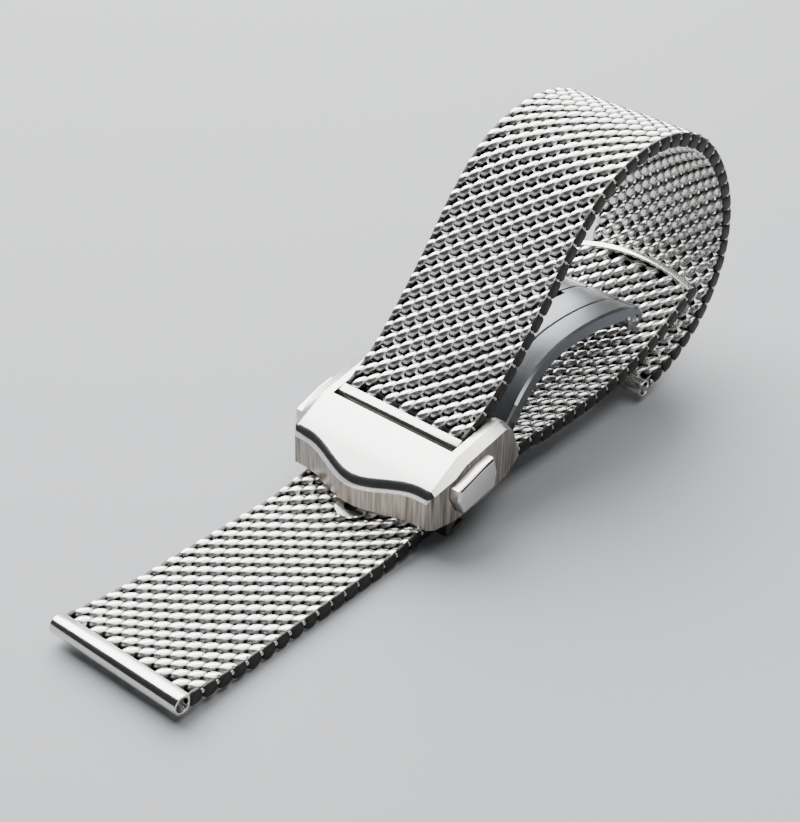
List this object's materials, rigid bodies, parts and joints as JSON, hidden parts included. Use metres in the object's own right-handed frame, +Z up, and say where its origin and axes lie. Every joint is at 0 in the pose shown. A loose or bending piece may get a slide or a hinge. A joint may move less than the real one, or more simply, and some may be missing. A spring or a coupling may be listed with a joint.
{
  "type": "watch bracelet",
  "caption": "Metal mesh watch bracelet: a long and a short woven strap joined by a folding clasp with a fork blade, a beaked cover and a push button on each side.",
  "frame": {"origin": "middle of the bore of the tube at the long strap's lug end", "axes": "+X along the long strap from its lug end to the clasp, +Y across the strap, +Z up, away from the surface it stands on"},
  "size_m": [0.1026, 0.0264, 0.0386],
  "materials": {
    "woven_mesh": "bright satin, woven",
    "brushed_clasp": "brushed with polished bevels",
    "polished_fittings": "polished",
    "spring_wire": "plain drawn wire"
  },
  "bodies": {
    "base": {"inner_blade": "brushed_clasp", "strap_keeper": "brushed_clasp", "strap_peg": "polished_fittings", "strap_eyelets": "polished_fittings", "long_strap_held_mesh": "woven_mesh"},
    "fork": {"fork_blade": "brushed_clasp", "blade_hinge_pin": "polished_fittings"},
    "cover": {"clasp_cover": "brushed_clasp", "cover_hinge_pin": "polished_fittings", "spring_bar_tube": "polished_fittings", "spring_bar_tips": "polished_fittings", "spring_bar_spring": "spring_wire", "button_spring_left": "spring_wire", "button_spring_right": "spring_wire"},
    "button_left": {"push_button_left": "brushed_clasp"},
    "button_right": {"push_button_right": "brushed_clasp"},
    "short_01": {"short_strap_mesh_01": "woven_mesh", "short_strap_clasp_tube": "polished_fittings"},
    "short_02": {"short_strap_mesh_02": "woven_mesh"},
    "short_03": {"short_strap_mesh_03": "woven_mesh"},
    "short_04": {"short_strap_mesh_04": "woven_mesh"},
    "short_05": {"short_strap_mesh_05": "woven_mesh"},
    "short_06": {"short_strap_mesh_06": "woven_mesh"},
    "short_07": {"short_strap_mesh_07": "woven_mesh"},
    "short_08": {"short_strap_mesh_08": "woven_mesh"},
    "short_09": {"short_strap_mesh_09": "woven_mesh"},
    "short_10": {"short_strap_mesh_10": "woven_mesh"},
    "short_11": {"short_strap_mesh_11": "woven_mesh"},
    "short_12": {"short_strap_mesh_12": "woven_mesh"},
    "short_13": {"short_strap_mesh_13": "woven_mesh"},
    "short_14": {"short_strap_mesh_14": "woven_mesh", "short_strap_lug_tube": "polished_fittings"},
    "front_01": {"long_strap_front_mesh_01": "woven_mesh", "long_strap_lug_tube": "polished_fittings"},
    "front_02": {"long_strap_front_mesh_02": "woven_mesh"},
    "front_03": {"long_strap_front_mesh_03": "woven_mesh"},
    "front_04": {"long_strap_front_mesh_04": "woven_mesh"},
    "front_05": {"long_strap_front_mesh_05": "woven_mesh"},
    "tail_01": {"long_strap_tail_mesh_01": "woven_mesh"},
    "tail_02": {"long_strap_tail_mesh_02": "woven_mesh"},
    "tail_03": {"long_strap_tail_mesh_03": "woven_mesh"},
    "tail_04": {"long_strap_tail_mesh_04": "woven_mesh"},
    "tail_05": {"long_strap_tail_mesh_05": "woven_mesh"},
    "tail_06": {"long_strap_tail_mesh_06": "woven_mesh", "long_strap_tip_rim": "polished_fittings"}
  },
  "joints": [
    {"name": "blade_hinge", "type": "hinge", "parent": "base", "child": "fork", "pos_m": [0.08454, 0, 0.00915], "axis": [0, 1, 0], "range_deg": [0, 27.5]},
    {"name": "cover_hinge", "type": "hinge", "parent": "fork", "child": "cover", "pos_m": [0.05114, 0, 0.00615], "axis": [0, 1, 0], "range_deg": [0, 24]},
    {"name": "short_01_bend", "type": "hinge", "parent": "cover", "child": "short_01", "pos_m": [0.04624, 0, 0.00865], "axis": [0, -1, 0], "range_deg": [-8, 0.5]},
    {"name": "short_02_bend", "type": "hinge", "parent": "short_01", "child": "short_02", "pos_m": [0.05235, 0, 0.01246], "axis": [0, -1, 0], "range_deg": [-8, 0.75]},
    {"name": "short_03_bend", "type": "hinge", "parent": "short_02", "child": "short_03", "pos_m": [0.05753, 0, 0.01746], "axis": [0, -1, 0], "range_deg": [-8, 1.25]},
    {"name": "short_04_bend", "type": "hinge", "parent": "short_03", "child": "short_04", "pos_m": [0.06234, 0, 0.02281], "axis": [0, -1, 0], "range_deg": [-8, 4.5]},
    {"name": "short_05_bend", "type": "hinge", "parent": "short_04", "child": "short_05", "pos_m": [0.06697, 0, 0.02833], "axis": [0, -1, 0], "range_deg": [-6.5, 8.5]},
    {"name": "short_06_bend", "type": "hinge", "parent": "short_05", "child": "short_06", "pos_m": [0.07249, 0, 0.03296], "axis": [0, 1, 0], "range_deg": [-54, 1.6]},
    {"name": "short_07_bend", "type": "hinge", "parent": "short_06", "child": "short_07", "pos_m": [0.07934, 0, 0.03518], "axis": [0, 1, 0], "range_deg": [-53, 0.95]},
    {"name": "short_08_bend", "type": "hinge", "parent": "short_07", "child": "short_08", "pos_m": [0.08653, 0, 0.03481], "axis": [0, 1, 0], "range_deg": [-55, 0.8]},
    {"name": "short_09_bend", "type": "hinge", "parent": "short_08", "child": "short_09", "pos_m": [0.093, 0, 0.03165], "axis": [0, 1, 0], "range_deg": [-55, 0.8]},
    {"name": "short_10_bend", "type": "hinge", "parent": "short_09", "child": "short_10", "pos_m": [0.09772, 0, 0.02622], "axis": [0, 1, 0], "range_deg": [-52, 0.9]},
    {"name": "short_11_bend", "type": "hinge", "parent": "short_10", "child": "short_11", "pos_m": [0.1003, 0, 0.01949], "axis": [0, 1, 0], "range_deg": [-55, 1.4]},
    {"name": "short_12_bend", "type": "hinge", "parent": "short_11", "child": "short_12", "pos_m": [0.10005, 0, 0.0123], "axis": [0, 1, 0], "range_deg": [-58, 5.2]},
    {"name": "short_13_bend", "type": "hinge", "parent": "short_12", "child": "short_13", "pos_m": [0.09667, 0, 0.00594], "axis": [0, 1, 0], "range_deg": [-57, 7]},
    {"name": "short_14_bend", "type": "hinge", "parent": "short_13", "child": "short_14", "pos_m": [0.09092, 0, 0.00161], "axis": [0, 1, 0], "range_deg": [-54, 10]},
    {"name": "front_01_bend", "type": "hinge", "parent": "front_02", "child": "front_01", "pos_m": [0.00657, 0, -0.00081], "axis": [0, -1, 0], "range_deg": [-28, 28]},
    {"name": "front_02_bend", "type": "hinge", "parent": "front_03", "child": "front_02", "pos_m": [0.01318, 0, -0.00115], "axis": [0, -1, 0], "range_deg": [-29, 29]},
    {"name": "front_03_bend", "type": "hinge", "parent": "front_04", "child": "front_03", "pos_m": [0.0198, 0, -0.00115], "axis": [0, -1, 0], "range_deg": [-32, 32]},
    {"name": "front_04_bend", "type": "hinge", "parent": "front_05", "child": "front_04", "pos_m": [0.02642, 0, -0.00115], "axis": [0, -1, 0], "range_deg": [-32, 32]},
    {"name": "front_05_bend", "type": "hinge", "parent": "base", "child": "front_05", "pos_m": [0.03304, 0, -0.00115], "axis": [0, -1, 0], "range_deg": [-23, 32]},
    {"name": "tail_01_bend", "type": "hinge", "parent": "base", "child": "tail_01", "pos_m": [0.05675, 0, 0.0026], "axis": [0, -1, 0], "range_deg": [-0.5, 0.6]},
    {"name": "tail_02_bend", "type": "hinge", "parent": "tail_01", "child": "tail_02", "pos_m": [0.06335, 0, 0.00249], "axis": [0, -1, 0], "range_deg": [-0.6, 0.7]},
    {"name": "tail_03_bend", "type": "hinge", "parent": "tail_02", "child": "tail_03", "pos_m": [0.06995, 0, 0.00249], "axis": [0, -1, 0], "range_deg": [-0.75, 0.8]},
    {"name": "tail_04_bend", "type": "hinge", "parent": "tail_03", "child": "tail_04", "pos_m": [0.07654, 0, 0.00283], "axis": [0, -1, 0], "range_deg": [-1, 1.4]},
    {"name": "tail_05_bend", "type": "hinge", "parent": "tail_04", "child": "tail_05", "pos_m": [0.08299, 0, 0.0042], "axis": [0, -1, 0], "range_deg": [-1.4, 3]},
    {"name": "tail_06_bend", "type": "hinge", "parent": "tail_05", "child": "tail_06", "pos_m": [0.08915, 0, 0.00657], "axis": [0, -1, 0], "range_deg": [-2.6, 20]},
    {"name": "push_button_left", "type": "slide", "parent": "cover", "child": "button_left", "axis": [0, -1, 0], "range_m": [0, 0.0006], "stiffness_N_per_m": 1500, "springref_m": -0.0006, "deforming": ["button_spring_left"]},
    {"name": "push_button_right", "type": "slide", "parent": "cover", "child": "button_right", "axis": [0, 1, 0], "range_m": [0, 0.0006], "stiffness_N_per_m": 1500, "springref_m": -0.0006, "deforming": ["button_spring_right"]}
  ]
}
